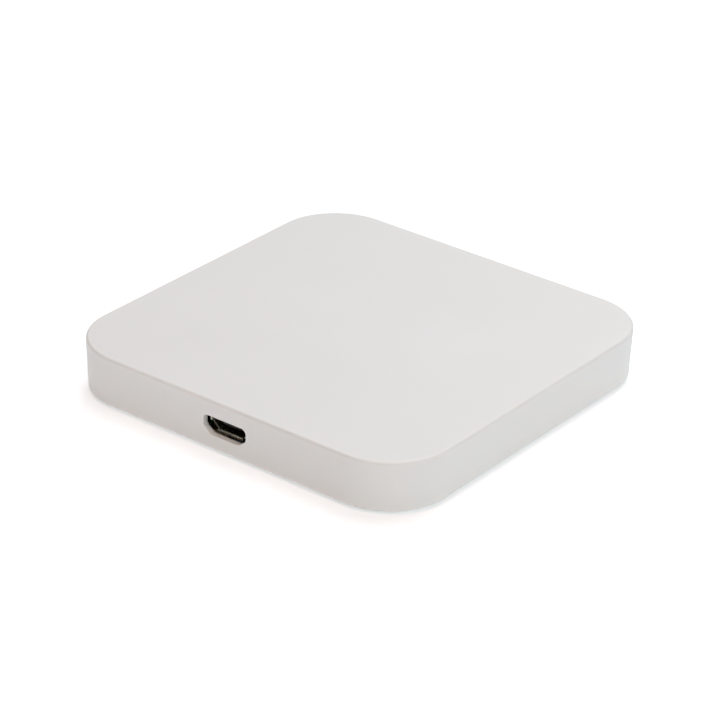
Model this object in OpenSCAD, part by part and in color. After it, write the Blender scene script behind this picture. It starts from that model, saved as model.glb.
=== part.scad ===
// Smart home hub: a thin rounded-square box with a micro-USB power socket.
// Millimetres, +Z up. The origin is the middle of the plane that the feet stand on.
// The socket faces -Y and the pairing button faces +Y.

/* [Casing] */
// Width and depth of the casing at its widest, just under the top edge
case_w = 70; // [69:0.5:80]
// Height of the casing without its feet
case_h = 8.8; // [8.8:0.1:11]
// Corner radius seen from above
corner_r = 11.3; // [10.5:0.1:13]
// Inward slope of the side walls towards the bottom, in degrees
wall_draft = 1.8; // [0:0.1:2.5]
// Radius of the top edge
top_edge_r = 0.5; // [0.3:0.05:0.8]
// Radius of the bottom edge
bottom_edge_r = 0.55; // [0.3:0.05:0.6]
// Thickness of the side walls at their top
wall_t = 1.4; // [1.3:0.1:1.5]
// Thickness of the roof
roof_t = 1.4; // [1:0.1:1.5]

/* [Base] */
// Thickness of the base plate
plate_t = 1.3; // [1.2:0.05:1.4]
// Gap all round between the base plate and the casing
plate_gap = 0.1; // [0.05:0.05:0.2]
// Diameter of a foot
foot_d = 7.8; // [6:0.2:8]
// Height of the feet below the casing
foot_proud = 0.5; // [0.4:0.1:1]

/* [Circuit board] */
// Thickness of the circuit board
board_t = 1; // [0.8:0.1:1]
// Gap all round between the board and the side walls
board_gap = 1.35; // [1.3:0.05:1.5]
// Number of parts in each row of chip resistors and capacitors
chips_per_row = 6; // [4:1:6]

/* [Socket] */
// Width of the cut-out in the wall
port_w = 8.4; // [8.3:0.1:9]
// Height of the cut-out in the wall
port_h = 3.1; // [3:0.1:3.4]
// Radius of the cut-out's upper corners
port_top_r = 0.8; // [0.4:0.1:1]

/* [Pairing button] */
// Width of the button
button_w = 6; // [5:0.2:6.4]
// Height of the button
button_h = 2.6; // [2.2:0.1:2.8]
// Distance that the button moves when it is pressed
button_travel = 0.3; // [0.2:0.05:0.3]
// Distance from the button to each light window, centre to centre
light_x = 8; // [7.5:0.5:10]

/* [Hidden] */
$fn = 48;

// A little extra length, so that a cut runs clear of the face that it opens
past = 1;
// How deep joined solids reach into each other
weld = 0.2;

// Casing
rim_z = foot_proud;
top_z = rim_z + case_h;
roof_z = top_z - roof_t;
half_w = case_w / 2;
corner_c = half_w - corner_r;
inner_half = half_w - wall_t;
inner_r = corner_r - wall_t;

// Base plate and the screws that hold it
plate_recess = 0.2;
plate_z = rim_z + plate_recess;
plate_top = plate_z + plate_t;
plate_half = inner_half - plate_gap;
collar_h = 0.8;
collar_r = 2.4;
boss_r = 2.3;
boss_inset = 3.4;
boss_spacing = 30;
rib_t = 1;
foot_inset = 7.1;
foot_recess = 0.5;
foot_fit = 0.1;
foot_edge_r = 0.25;
label_w = 30;
label_d = 18;
label_t = 0.1;
label_recess = 0.15;
label_fit = 0.2;

// Circuit board
pad_h = 0.45;
board_z = plate_top + pad_h;
board_top = board_z + board_t;
board_half = inner_half - board_gap;
board_r = 8.6;
notch_r = 2.7;
post_r = 2.1;
post_x = 19.5;
post_inset = 4.25;
post_y = board_half - post_inset;
peg_r = 0.75;
peg_hole_r = 0.8;
pad_r = 1.4;
pad_inset = 4;
side_pad_x = 0.6 * board_half;

// Screws: shank radius, head radius, head height, length, pilot radius, hole radius
case_screw = [1, 1.8, 1, 5, 1.05, 1.15];
board_screw = [0.8, 1.5, 0.6, 4, 0.85, 0.9];
drive_w = 0.35;
// Shares of the head's radius and height
drive_span = 1.2;
drive_depth = 0.6;
counterbore_r = 2;
counterbore_h = 1.1;
pocket_r = 1.9;
pocket_h = 0.4;

// Standard micro-USB receptacle: opening, sheet thickness and length
usb_w = 6.9;
usb_h = 1.85;
usb_chamfer = 1;
usb_wall = 0.25;
usb_len = 5;
usb_corner_r = 0.35;
// Chamfer outside, so that the sheet is as thick there as elsewhere
usb_outer_chamfer = usb_chamfer + usb_wall * (2 - sqrt(2));
usb_setback = 0.25;
usb_mouth = inner_half - usb_setback;
usb_z = board_top + usb_wall + usb_h / 2;
usb_rear = usb_mouth - usb_len;
usb_roof_z = usb_z + usb_h / 2 + usb_wall;
flare_len = 0.55;
flare_angle = 40;
low_flare_len = 0.62;
low_flare_w = 5.5;
top_flare_inset = 0.5;
side_flare_inset = 0.05;
tongue_w = 3.7;
tongue_t = 0.6;
tongue_setback = 0.5;
tongue_rise = 0.25;
contact_count = 5;
contact_pitch = 0.65;
contact_w = 0.25;
contact_t = 0.15;
contact_tail = 0.9;
contact_setback = 0.3;
contact_fit = 0.02;
block_len = 1.2;
leg_w = 0.8;
leg_below = 0.2;
leg_slot_gap = 0.15;
leg_y = [1.9, 3.9];
window_x = 1.6;
window_y = 2.6;
window_size = [0.6, 1.2];
hold_down = [6, 3];

// Wall cut-out for the socket
port_chamfer_w = 1.6;
port_chamfer_h = 1.2;
port_low_r = 0.5;
port_rise = 0.03;
port_z = usb_z + port_rise;

// Pairing button and the side-push switch behind it
button_z = rim_z + case_h / 2;
button_fit = 0.15;
button_proud = 0.06;
// Left flat between the two arcs of a rounded end
end_flat = 0.01;
flange_w = 1.6;
flange_h = 1.5;
flange_t = 0.6;
flange_r = 0.5;
flange_gap = 0.1;
nub_w = 2.4;
nub_h = 1.6;
switch_w = 4.6;
switch_h = 2 * (button_z - board_top);
switch_setback = 2.2;
switch_front = inner_half - switch_setback;
frame_t = 0.15;
frame_side = 1.5;
switch_inside = switch_front - frame_t;
switch_depth = 2.2;
stem_w = 1.8;
stem_h = 1.2;
stem_fit = 0.15;
stem_proud = 0.9;
collar_w = 2.8;
collar_tall = 1.9;
collar_t = 0.25;
cavity_w = 3.2;
cavity_h = 2.3;
cavity_depth = 1.15;
dome_r = 1.1;
dome_rise = button_travel + 0.1;
dome_t = 0.08;
dome_gap = 0.02;
dome_foot = switch_inside - cavity_depth;
dome_sphere_r = (dome_r * dome_r + dome_rise * dome_rise) / (2 * dome_rise);
plunger_r = 0.5;
plunger_gap = 0.05;

// Lights
light_z = button_z;
pipe_r = 0.8;
pipe_fit = 0.05;
pipe_block_w = 2.2;
pipe_lift = 0.1;
pipe_foot_z = board_top + pipe_lift;
pipe_reach = 0.2;
pipe_rear = switch_front - pipe_reach;
led_size = [2.8, 1.1, 1];
led_gap = 0.1;

// Radio modules, one on each side: the antenna end lies at the board's edge
radio_len = 24;
radio_w = 16;
radio_t = 0.8;
radio_top = board_top + radio_t;
shield_len = 15;
shield_w = 14;
shield_h = 2.2;
shield_t = 0.2;
shield_x = 1;
notches_per_side = 8;
notch_pitch = 2;
first_notch = 1.5;
edge_notch_r = 0.4;
trace_w = 0.7;
trace_t = 0.05;
trace_turns = 4;
trace_pitch = 2.8;
trace_reach = 4.4;
solder_t = 0.05;
radio_chip_x = 6.5;
radio_chip_size = [6, 6, 0.85];
crystal_at = [12.5, 3.5];
crystal_size = [2.5, 2, 0.6];
antenna_margin = 1;

// Parts on the main board: places and body sizes
fuse_at = [-4.4, -24.5];
fuse_size = [1.6, 3.2, 0.8];
clamp_at = [2, -24.3];
input_capacitor_at = [-5, -19.5];
output_capacitor_at = [11, -19.5];
tantalum_size = [3.5, 2.8, 1.9];
terminal_w = 0.5;
terminal_h = 0.4;
terminal_share = 0.8;
terminal_proud = 0.1;
converter_at = [0, -18.5];
inductor_at = [5.5, -19];
inductor_size = [4, 4, 1.9];
inductor_chamfer = 0.6;
transistor_at = [8, 24];
leg_size = [0.35, 0.5, 0.15];
chip_gap = 0.1;
// Chips: body size, legs on each side, their pitch, width over the legs
clamp_chip = [[2.9, 1.3, 0.95], 2, 1.9, 2.4];
converter_chip = [[2.9, 1.6, 1.1], 3, 0.95, 2.8];
memory_chip = [[5, 4, 1.5], 4, 1.27, 6];
transistor_chip = [[2.9, 1.3, 1], 2, 1.9, 2.4];
chip_part_size = [1.6, 0.8, 0.45];
chip_row_y = 10.5;
chip_row_x = 8;
chip_row_pitch = 2.4;

// Colours
case_white = "#e4e3e1";
rubber_grey = "#54565a";
steel = "#b9bbbd";
board_green = "#1e5a3a";
board_blue = "#20406a";
chip_black = "#202124";
copper_gold = "#c99a4b";
label_grey = "#d9dad8";
tantalum_ochre = "#b8862e";
fuse_green = "#2c6b3c";
ferrite_grey = "#3a3b3d";
resistor_black = "#2b2c2e";
capacitor_tan = "#a58a66";
led_cream = "#e8e2c8";
frosted_clear = "#f2f5f4";
plunger_grey = "#8c8f92";

function unit(v) = v / norm(v);

// Points along an arc
function arc(centre, r, from, to, steps) =
    [for (i = [0 : steps]) let (a = from + (to - from) * i / steps) centre + r * [cos(a), sin(a)]];

// Points that round corner b, between its neighbours a and c
function round_corner(a, b, c, r, steps) =
    let (u = unit(a - b), v = unit(c - b))
    let (half = acos(u * v) / 2)
    let (centre = b + unit(u + v) * r / sin(half))
    let (start = b + u * r / tan(half) - centre)
    let (from = atan2(start[1], start[0]))
    let (turn = cross(u, v) < 0 ? 180 - 2 * half : 2 * half - 180)
    arc(centre, r, from, from + turn, steps);

// The outline p with corner i rounded to radius radii[i]
function rounded(p, radii, steps = 5) =
    [for (i = [0 : len(p) - 1])
        each round_corner(p[(i + len(p) - 1) % len(p)], p[i], p[(i + 1) % len(p)], radii[i], steps)];

// Outline of a socket: flat and wide at the top, with its two lower corners cut off
function socket_outline(w, h, cut_w, cut_h, top_r, low_r) = rounded(
    [
        [-w / 2, -h / 2 + cut_h], [-w / 2 + cut_w, -h / 2], [w / 2 - cut_w, -h / 2],
        [w / 2, -h / 2 + cut_h], [w / 2, h / 2], [-w / 2, h / 2]
    ],
    [low_r, low_r, low_r, low_r, top_r, top_r]
);

// Distance from a corner's centre to the outer wall at height z
top_arc = [corner_r - top_edge_r, top_z - top_edge_r];
function wall_at(z) = top_arc[0] + top_edge_r / cos(wall_draft) - (top_arc[1] - z) * tan(wall_draft);

low_arc_z = rim_z + bottom_edge_r;
low_arc = [wall_at(low_arc_z) - bottom_edge_r / cos(wall_draft), low_arc_z];

// Section of the casing from a corner's centre outwards
wall_section = concat(
    [[0, rim_z]],
    arc(low_arc, bottom_edge_r, -90, -wall_draft, 6),
    arc(top_arc, top_edge_r, -wall_draft, 90, 6),
    [[0, top_z]]
);

module rounded_rect(w, h, r) {
    square([w - 2 * r, h], center = true);
    square([w, h - 2 * r], center = true);
    for (x = [-1, 1], y = [-1, 1])
        translate([x * (w / 2 - r), y * (h / 2 - r)])
            circle(r);
}

module slab(w, r, z, t) {
    translate([0, 0, z])
        linear_extrude(t)
            rounded_rect(w, w, r);
}

// Extrudes a shape drawn in X and Z along +Y, from the given y
module along_y(y, length) {
    translate([0, y + length, 0])
        rotate([90, 0, 0])
            linear_extrude(length)
                children();
}

// A block centred on x and y, standing on z
module block(x, y, z, size) {
    translate([x - size[0] / 2, y - size[1] / 2, z])
        cube(size);
}

module at_case_screws() {
    for (x = [-1, 1], y = [-1, 1])
        translate([x * (inner_half - boss_inset), y * boss_spacing / 2, 0])
            rotate(x > 0 ? 0 : 180)
                children();
}

// The board is screwed down at two opposite posts and located by pegs at the other two
module at_board_screws() {
    for (s = [-1, 1])
        translate([s * post_x, -s * post_y, 0])
            children();
}

module at_board_pegs() {
    for (s = [-1, 1])
        translate([s * post_x, s * post_y, 0])
            children();
}

module casing_solid() {
    for (i = [0 : 3])
        rotate(90 * i) {
            translate([corner_c, corner_c, 0])
                rotate_extrude(angle = 90)
                    polygon(wall_section);
            translate([corner_c, 0, 0])
                along_y(-corner_c, 2 * corner_c)
                    polygon(wall_section);
        }
    block(0, 0, rim_z, [2 * corner_c, 2 * corner_c, case_h]);
}

module case_boss() {
    translate([0, 0, plate_top + collar_h])
        cylinder(r = boss_r, h = roof_z - plate_top - collar_h + weld);
    translate([0, -rib_t / 2, plate_top + collar_h])
        cube([boss_inset + weld, rib_t, roof_z - plate_top - collar_h + weld]);
}

module top_shell() {
    color(case_white)
        difference() {
            union() {
                difference() {
                    casing_solid();
                    slab(2 * inner_half, inner_r, rim_z - past, roof_z - rim_z + past);
                }
                at_case_screws()
                    case_boss();
                at_board_screws()
                    translate([0, 0, board_top])
                        cylinder(r = post_r, h = roof_z - board_top + weld);
                at_board_pegs() {
                    translate([0, 0, board_top])
                        cylinder(r = post_r, h = roof_z - board_top + weld);
                    translate([0, 0, board_z])
                        cylinder(r = peg_r, h = board_t + weld);
                }
                // Block that holds the socket down
                block(0, -(usb_mouth + usb_rear) / 2, usb_roof_z,
                    [hold_down[0], hold_down[1], roof_z - usb_roof_z + weld]);
            }
            at_case_screws()
                translate([0, 0, plate_top + collar_h - past])
                    cylinder(r = case_screw[4], h = past + case_screw[3] - collar_h);
            at_board_screws()
                translate([0, 0, board_top - past])
                    cylinder(r = board_screw[4], h = past + board_screw[3] - board_t + weld);
            translate([0, 0, port_z])
                along_y(-half_w - past, wall_t + 2 * past)
                    polygon(socket_outline(port_w, port_h, port_chamfer_w, port_chamfer_h,
                        port_top_r, port_low_r));
            translate([0, 0, button_z])
                along_y(inner_half - past, wall_t + 2 * past)
                    rounded_rect(button_w + 2 * button_fit, button_h + 2 * button_fit,
                        button_h / 2 + button_fit - end_flat);
            for (s = [-1, 1])
                translate([s * light_x, 0, light_z])
                    along_y(inner_half - past, wall_t + 2 * past)
                        circle(pipe_r + pipe_fit);
        }
}

module base_plate() {
    color(case_white)
        difference() {
            union() {
                slab(2 * plate_half, inner_r - plate_gap, plate_z, plate_t);
                at_case_screws()
                    translate([0, 0, plate_top - weld])
                        cylinder(r = collar_r, h = collar_h + weld);
                // Pads that the circuit board lies on
                at_board_pegs()
                    board_pad();
                for (s = [-1, 1]) {
                    translate([0, s * (board_half - pad_inset), 0])
                        board_pad();
                    translate([s * side_pad_x, 0, 0])
                        board_pad();
                }
            }
            at_case_screws() {
                translate([0, 0, plate_z - past])
                    cylinder(r = case_screw[5], h = plate_t + collar_h + 2 * past);
                translate([0, 0, plate_z - past])
                    cylinder(r = counterbore_r, h = counterbore_h + past);
            }
            at_board_screws()
                translate([0, 0, plate_top - pocket_h])
                    cylinder(r = pocket_r, h = pocket_h + past);
            for (x = [-1, 1], y = [-1, 1])
                translate([x * (inner_half - foot_inset), y * (inner_half - foot_inset), plate_z - past])
                    cylinder(d = foot_d + 2 * foot_fit, h = foot_recess + past);
            block(0, 0, plate_z - past, [label_w, label_d, label_recess + past]);
        }
}

module board_pad() {
    translate([0, 0, plate_top - weld])
        cylinder(r = pad_r, h = pad_h + weld);
}

module foot(x, y) {
    color(rubber_grey)
        translate([x * (inner_half - foot_inset), y * (inner_half - foot_inset), 0])
            rotate_extrude()
                polygon(concat(
                    [[0, 0]],
                    arc([foot_d / 2 - foot_edge_r, foot_edge_r], foot_edge_r, -90, 0, 4),
                    [[foot_d / 2, plate_z + foot_recess], [0, plate_z + foot_recess]]
                ));
}

// A self-tapping screw, head down, with its head's seat at z = 0 and a cross-shaped drive
module screw(s) {
    shank_r = s[0];
    head_r = s[1];
    head_h = s[2];
    color(steel)
        difference() {
            union() {
                translate([0, 0, -head_h])
                    cylinder(r = head_r, h = head_h);
                cylinder(r = shank_r, h = s[3] - shank_r);
                translate([0, 0, s[3] - shank_r])
                    cylinder(r1 = shank_r, r2 = shank_r / 3, h = shank_r);
            }
            block(0, 0, -head_h - past, [head_r * drive_span, drive_w, past + head_h * drive_depth]);
            block(0, 0, -head_h - past, [drive_w, head_r * drive_span, past + head_h * drive_depth]);
        }
}

module case_screws() {
    at_case_screws()
        translate([0, 0, plate_z + counterbore_h])
            screw(case_screw);
}

module board_screws() {
    at_board_screws()
        translate([0, 0, board_z])
            screw(board_screw);
}

module rating_label() {
    color(label_grey)
        block(0, 0, plate_z + label_recess - label_t,
            [label_w - 2 * label_fit, label_d - 2 * label_fit, label_t]);
}

module main_board() {
    color(board_green)
        difference() {
            slab(2 * board_half, board_r, board_z, board_t);
            at_case_screws() {
                translate([0, 0, board_z - past])
                    cylinder(r = notch_r, h = board_t + 2 * past);
                translate([0, -notch_r, board_z - past])
                    cube([boss_inset, 2 * notch_r, board_t + 2 * past]);
            }
            at_board_screws()
                translate([0, 0, board_z - past])
                    cylinder(r = board_screw[5], h = board_t + 2 * past);
            at_board_pegs()
                translate([0, 0, board_z - past])
                    cylinder(r = peg_hole_r, h = board_t + 2 * past);
            // Slots for the socket's legs
            at_usb_legs()
                block(0, 0, board_z - past, [usb_wall + 2 * leg_slot_gap, leg_w + 2 * leg_slot_gap,
                    board_t + 2 * past]);
        }
}

// The receptacle's legs, soldered into slots in the board
module at_usb_legs() {
    for (x = [-1, 1], y = leg_y)
        translate([x * (usb_w / 2 + usb_wall / 2), -usb_mouth + y, 0])
            children();
}

// One lip of the mouth, bent outwards by flare_angle: it grows from z = 0 along -Y
module flare(w, length) {
    rotate([-flare_angle, 0, 0])
        translate([-w / 2, -length, 0])
            cube([w, length + weld, usb_wall]);
}

module usb_shell() {
    side_h = usb_h - usb_chamfer;
    color(steel)
        difference() {
            union() {
                translate([0, 0, usb_z])
                    along_y(-usb_mouth + flare_len / 2, usb_len - flare_len / 2)
                        polygon(socket_outline(usb_w + 2 * usb_wall, usb_h + 2 * usb_wall,
                            usb_outer_chamfer, usb_outer_chamfer,
                            usb_corner_r + usb_wall, usb_corner_r));
                translate([0, -usb_mouth + flare_len, usb_z + usb_h / 2])
                    flare(usb_w - 2 * top_flare_inset, flare_len);
                translate([0, -usb_mouth + flare_len, usb_z - usb_h / 2])
                    mirror([0, 0, 1])
                        flare(low_flare_w, low_flare_len);
                for (s = [-1, 1])
                    translate([s * usb_w / 2, -usb_mouth + flare_len, usb_z + usb_chamfer / 2])
                        rotate([0, s * 90, 0])
                            flare(side_h - 2 * side_flare_inset, flare_len);
                at_usb_legs()
                    block(0, 0, board_z - leg_below, [usb_wall, leg_w, usb_z - board_z + leg_below]);
            }
            translate([0, 0, usb_z])
                along_y(-usb_mouth - past, usb_len + 2 * past)
                    polygon(socket_outline(usb_w, usb_h, usb_chamfer, usb_chamfer, usb_corner_r,
                        usb_corner_r));
            // Windows that the plug's springs snap into
            for (s = [-1, 1])
                block(s * window_x, -usb_mouth + window_y, usb_z - usb_h / 2 - past,
                    [window_size[0], window_size[1], past + weld]);
        }
}

module contact_shape(i, grow = 0) {
    x = (i - (contact_count - 1) / 2) * contact_pitch;
    w = contact_w + 2 * grow;
    tip = -usb_mouth + tongue_setback + contact_setback;
    z = usb_z + tongue_rise - tongue_t / 2 - contact_t;
    block(x, (tip - usb_rear) / 2, z, [w, -usb_rear - tip, contact_t + grow]);
    block(x, -usb_rear + contact_t / 2, board_top, [w, contact_t, z + contact_t + grow - board_top]);
    block(x, -usb_rear + contact_tail / 2, board_top, [w, contact_tail, contact_t]);
}

module usb_tongue() {
    color(chip_black)
        difference() {
            union() {
                translate([0, 0, usb_z])
                    along_y(-usb_rear - block_len, block_len)
                        polygon(socket_outline(usb_w - 2 * contact_fit, usb_h - 2 * contact_fit,
                            usb_chamfer, usb_chamfer, usb_corner_r, usb_corner_r));
                block(0, (-usb_mouth + tongue_setback - usb_rear) / 2,
                    usb_z + tongue_rise - tongue_t / 2,
                    [tongue_w, usb_len - tongue_setback, tongue_t]);
            }
            for (i = [0 : contact_count - 1])
                contact_shape(i, contact_fit);
        }
}

module usb_contacts() {
    color(copper_gold)
        for (i = [0 : contact_count - 1])
            contact_shape(i);
}

// A moulded chip with bent legs along two sides
module chip(at, form) {
    size = form[0];
    legs = form[1];
    pitch = form[2];
    span = form[3];
    bend_y = span / 2 - leg_size[1];
    mid_z = chip_gap + size[2] / 2;
    translate([at[0], at[1], board_top]) {
        block(0, 0, chip_gap, size);
        for (i = [0 : legs - 1], s = [-1, 1])
            translate([(i - (legs - 1) / 2) * pitch, 0, 0]) {
                block(0, s * (span - leg_size[1]) / 2, 0, leg_size);
                block(0, s * bend_y, 0, [leg_size[0], leg_size[2], mid_z]);
                block(0, s * (bend_y + size[1] / 2) / 2, mid_z - leg_size[2],
                    [leg_size[0], bend_y - size[1] / 2 + leg_size[2], leg_size[2]]);
            }
    }
}

// A moulded capacitor with two flat terminals folded under its ends
module tantalum(at) {
    color(tantalum_ochre)
        translate([at[0], at[1], board_top]) {
            block(0, 0, chip_gap, tantalum_size);
            for (s = [-1, 1])
                block(s * (tantalum_size[0] / 2 + terminal_proud - terminal_w / 2), 0, 0,
                    [terminal_w, tantalum_size[1] * terminal_share, terminal_h]);
        }
}

module input_fuse() {
    color(fuse_green)
        block(fuse_at[0], fuse_at[1], board_top + solder_t, fuse_size);
}

module surge_clamp() {
    color(chip_black)
        chip(clamp_at, clamp_chip);
}

module buck_converter() {
    color(chip_black)
        chip(converter_at, converter_chip);
}

module power_inductor() {
    color(ferrite_grey)
        translate([inductor_at[0], inductor_at[1], board_top + solder_t])
            intersection() {
                block(0, 0, 0, inductor_size);
                rotate(45)
                    block(0, 0, 0, [
                        (inductor_size[0] - inductor_chamfer) * sqrt(2),
                        (inductor_size[1] - inductor_chamfer) * sqrt(2),
                        inductor_size[2]
                    ]);
            }
}

module flash_chip() {
    color(chip_black)
        chip([0, 0], memory_chip);
}

module signal_transistors() {
    color(chip_black)
        for (s = [-1, 1])
            chip([s * transistor_at[0], transistor_at[1]], transistor_chip);
}

module chip_rows(y) {
    for (i = [0 : chips_per_row - 1], s = [-1, 1])
        block(s * (chip_row_x + chip_row_pitch * i), s * y, board_top + solder_t, chip_part_size);
}

module chip_resistors() {
    color(resistor_black)
        chip_rows(chip_row_y);
}

module chip_capacitors() {
    color(capacitor_tan)
        chip_rows(-chip_row_y);
}

// Radio modules: side is -1 for Wi-Fi and 1 for the mesh radio
module at_radio(side) {
    rotate(side < 0 ? 180 : 0)
        translate([board_half - radio_len, 0, 0])
            children();
}

module radio_board(side) {
    color(board_blue)
        at_radio(side)
            difference() {
                translate([0, -radio_w / 2, board_top])
                    cube([radio_len, radio_w, radio_t]);
                // Half-round solder pads along both long edges
                for (i = [0 : notches_per_side - 1], s = [-1, 1])
                    translate([first_notch + i * notch_pitch, s * radio_w / 2, board_top - past])
                        cylinder(r = edge_notch_r, h = radio_t + 2 * past);
            }
}

module radio_chip(side) {
    color(chip_black)
        at_radio(side)
            block(radio_chip_x, 0, radio_top + solder_t, radio_chip_size);
}

module radio_crystal(side) {
    color(steel)
        at_radio(side)
            block(crystal_at[0], crystal_at[1], radio_top + solder_t, crystal_size);
}

module radio_shield(side) {
    color(steel)
        at_radio(side)
            difference() {
                translate([shield_x, -shield_w / 2, radio_top])
                    cube([shield_len, shield_w, shield_h]);
                translate([shield_x + shield_t, -shield_w / 2 + shield_t, radio_top - past])
                    cube([shield_len - 2 * shield_t, shield_w - 2 * shield_t, shield_h + past - shield_t]);
            }
}

// Flat meandering copper trace at the module's outer end
module radio_antenna(side) {
    x0 = radio_len - trace_reach - antenna_margin;
    color(copper_gold)
        at_radio(side)
            for (i = [0 : trace_turns]) {
                y = (i - trace_turns / 2) * trace_pitch;
                block(x0 + trace_reach / 2, y, radio_top, [trace_reach, trace_w, trace_t]);
                if (i < trace_turns)
                    block(i % 2 == 0 ? x0 + trace_reach - trace_w / 2 : x0 + trace_w / 2,
                        y + trace_pitch / 2, radio_top, [trace_w, trace_pitch, trace_t]);
            }
}

// A side-facing LED on the board, behind its light pipe
module led(side) {
    color(led_cream)
        block(side * light_x, pipe_rear - led_gap - led_size[1] / 2, board_top + solder_t, led_size);
}

// A rod in the wall, with a square block inside that reaches down in front of the LED
module light_pipe(side) {
    front = corner_c + wall_at(light_z - pipe_r);
    color(frosted_clear)
        translate([side * light_x, 0, 0]) {
            translate([0, 0, light_z])
                along_y(inner_half - weld, front - inner_half + weld)
                    circle(pipe_r);
            block(0, (inner_half + pipe_rear) / 2, pipe_foot_z,
                [pipe_block_w, inner_half - pipe_rear, light_z + pipe_block_w / 2 - pipe_foot_z]);
        }
}

module button_cap() {
    front = half_w - button_proud;
    flange_front = inner_half - flange_gap;
    flange_rear = flange_front - flange_t;
    stem_tip = switch_front + stem_proud;
    color(case_white)
        translate([0, 0, button_z]) {
            along_y(flange_front - weld, front - flange_front + weld)
                rounded_rect(button_w, button_h, button_h / 2 - end_flat);
            along_y(flange_rear, flange_t)
                rounded_rect(button_w + flange_w, button_h + flange_h, flange_r);
            block(0, (flange_rear + stem_tip + weld) / 2, -nub_h / 2,
                [nub_w, flange_rear - stem_tip + weld, nub_h]);
        }
}

module switch_base() {
    color(chip_black)
        difference() {
            block(0, switch_inside - switch_depth / 2, board_top,
                [switch_w - 2 * frame_t, switch_depth, switch_h - frame_t]);
            block(0, switch_inside - cavity_depth / 2 + past / 2, button_z - cavity_h / 2,
                [cavity_w, cavity_depth + past, cavity_h]);
        }
}

// Steel cover folded over the front, top and sides of the switch
module switch_frame() {
    color(steel)
        difference() {
            block(0, switch_front - (frame_side + frame_t) / 2, board_top,
                [switch_w, frame_side + frame_t, switch_h]);
            block(0, switch_inside - (frame_side + past) / 2, board_top - past,
                [switch_w - 2 * frame_t, frame_side + past, switch_h - frame_t + past]);
            block(0, switch_front, button_z - stem_h / 2 - stem_fit,
                [stem_w + 2 * stem_fit, 2 * past, stem_h + 2 * stem_fit]);
        }
}

// Thin sprung cap standing on the floor of the switch's cavity
module snap_dome() {
    color(steel)
        translate([0, dome_foot, button_z])
            rotate([-90, 0, 0])
                difference() {
                    intersection() {
                        translate([0, 0, dome_rise - dome_sphere_r])
                            sphere(r = dome_sphere_r);
                        cylinder(r = 2 * dome_r, h = 2 * dome_rise);
                    }
                    translate([0, 0, dome_rise - dome_sphere_r])
                        sphere(r = dome_sphere_r - dome_t);
                }
}

module switch_plunger() {
    collar_front = switch_inside - plunger_gap;
    tip = dome_foot + dome_rise + dome_gap;
    color(plunger_grey)
        translate([0, 0, button_z]) {
            block(0, (collar_front + switch_front + stem_proud) / 2, -stem_h / 2,
                [stem_w, switch_front + stem_proud - collar_front, stem_h]);
            block(0, collar_front - collar_t / 2, -collar_tall / 2, [collar_w, collar_t, collar_tall]);
            along_y(tip, collar_front - tip)
                circle(plunger_r);
        }
}

top_shell();
base_plate();
foot(-1, -1);  // foot_front_left
foot(1, -1);  // foot_front_right
foot(-1, 1);  // foot_rear_left
foot(1, 1);  // foot_rear_right
case_screws();
rating_label();
main_board();
board_screws();
usb_shell();
usb_tongue();
usb_contacts();
input_fuse();
surge_clamp();
tantalum(input_capacitor_at);  // input_capacitor
buck_converter();
power_inductor();
tantalum(output_capacitor_at);  // output_capacitor
flash_chip();
signal_transistors();
chip_resistors();
chip_capacitors();
radio_board(-1);  // wifi_board
radio_chip(-1);  // wifi_chip
radio_crystal(-1);  // wifi_crystal
radio_shield(-1);  // wifi_shield
radio_antenna(-1);  // wifi_antenna
radio_board(1);  // mesh_board
radio_chip(1);  // mesh_chip
radio_crystal(1);  // mesh_crystal
radio_shield(1);  // mesh_shield
radio_antenna(1);  // mesh_antenna
led(-1);  // power_led
led(1);  // network_led
light_pipe(-1);  // power_light_pipe
light_pipe(1);  // network_light_pipe
button_cap();
switch_base();
switch_frame();
snap_dome();
switch_plunger();
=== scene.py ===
"""Smart home hub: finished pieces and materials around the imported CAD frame."""

import math

import bmesh
import bpy
from mathutils import Matrix, Vector


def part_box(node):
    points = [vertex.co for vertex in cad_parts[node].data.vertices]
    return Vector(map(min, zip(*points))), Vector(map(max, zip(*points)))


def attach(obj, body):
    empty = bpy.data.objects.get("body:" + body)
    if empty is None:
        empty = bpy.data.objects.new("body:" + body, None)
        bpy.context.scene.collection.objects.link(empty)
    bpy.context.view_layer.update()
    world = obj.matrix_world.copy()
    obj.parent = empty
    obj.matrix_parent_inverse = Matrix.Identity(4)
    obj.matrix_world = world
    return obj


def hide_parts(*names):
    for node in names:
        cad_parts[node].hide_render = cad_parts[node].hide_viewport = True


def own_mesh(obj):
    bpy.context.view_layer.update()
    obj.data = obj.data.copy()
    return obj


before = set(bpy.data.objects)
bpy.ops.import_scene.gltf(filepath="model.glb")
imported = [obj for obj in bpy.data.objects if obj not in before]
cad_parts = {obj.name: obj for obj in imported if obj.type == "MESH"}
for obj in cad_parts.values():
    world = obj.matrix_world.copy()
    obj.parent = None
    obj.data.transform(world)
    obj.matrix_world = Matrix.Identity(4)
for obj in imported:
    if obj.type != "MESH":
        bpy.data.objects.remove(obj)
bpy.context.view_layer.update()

MM = 0.001
HOUSING = "housing"
BUTTON = "pair_button"

# Places and sizes that the frame gives
shell_low, shell_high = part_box("top_shell")
plate_low, plate_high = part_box("base_plate")
board_low, board_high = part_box("main_board")
cap_low, cap_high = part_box("button_cap")
pipe_low, pipe_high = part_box("network_light_pipe")
screws_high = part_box("case_screws")[1]
small_screws_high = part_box("board_screws")[1]
socket_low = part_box("usb_shell")[0]
tongue_low, tongue_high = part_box("usb_tongue")
contacts_low, contacts_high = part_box("usb_contacts")
foot_low, foot_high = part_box("foot_rear_right")
label_low, label_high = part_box("rating_label")
dome_low, dome_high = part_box("snap_dome")

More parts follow.
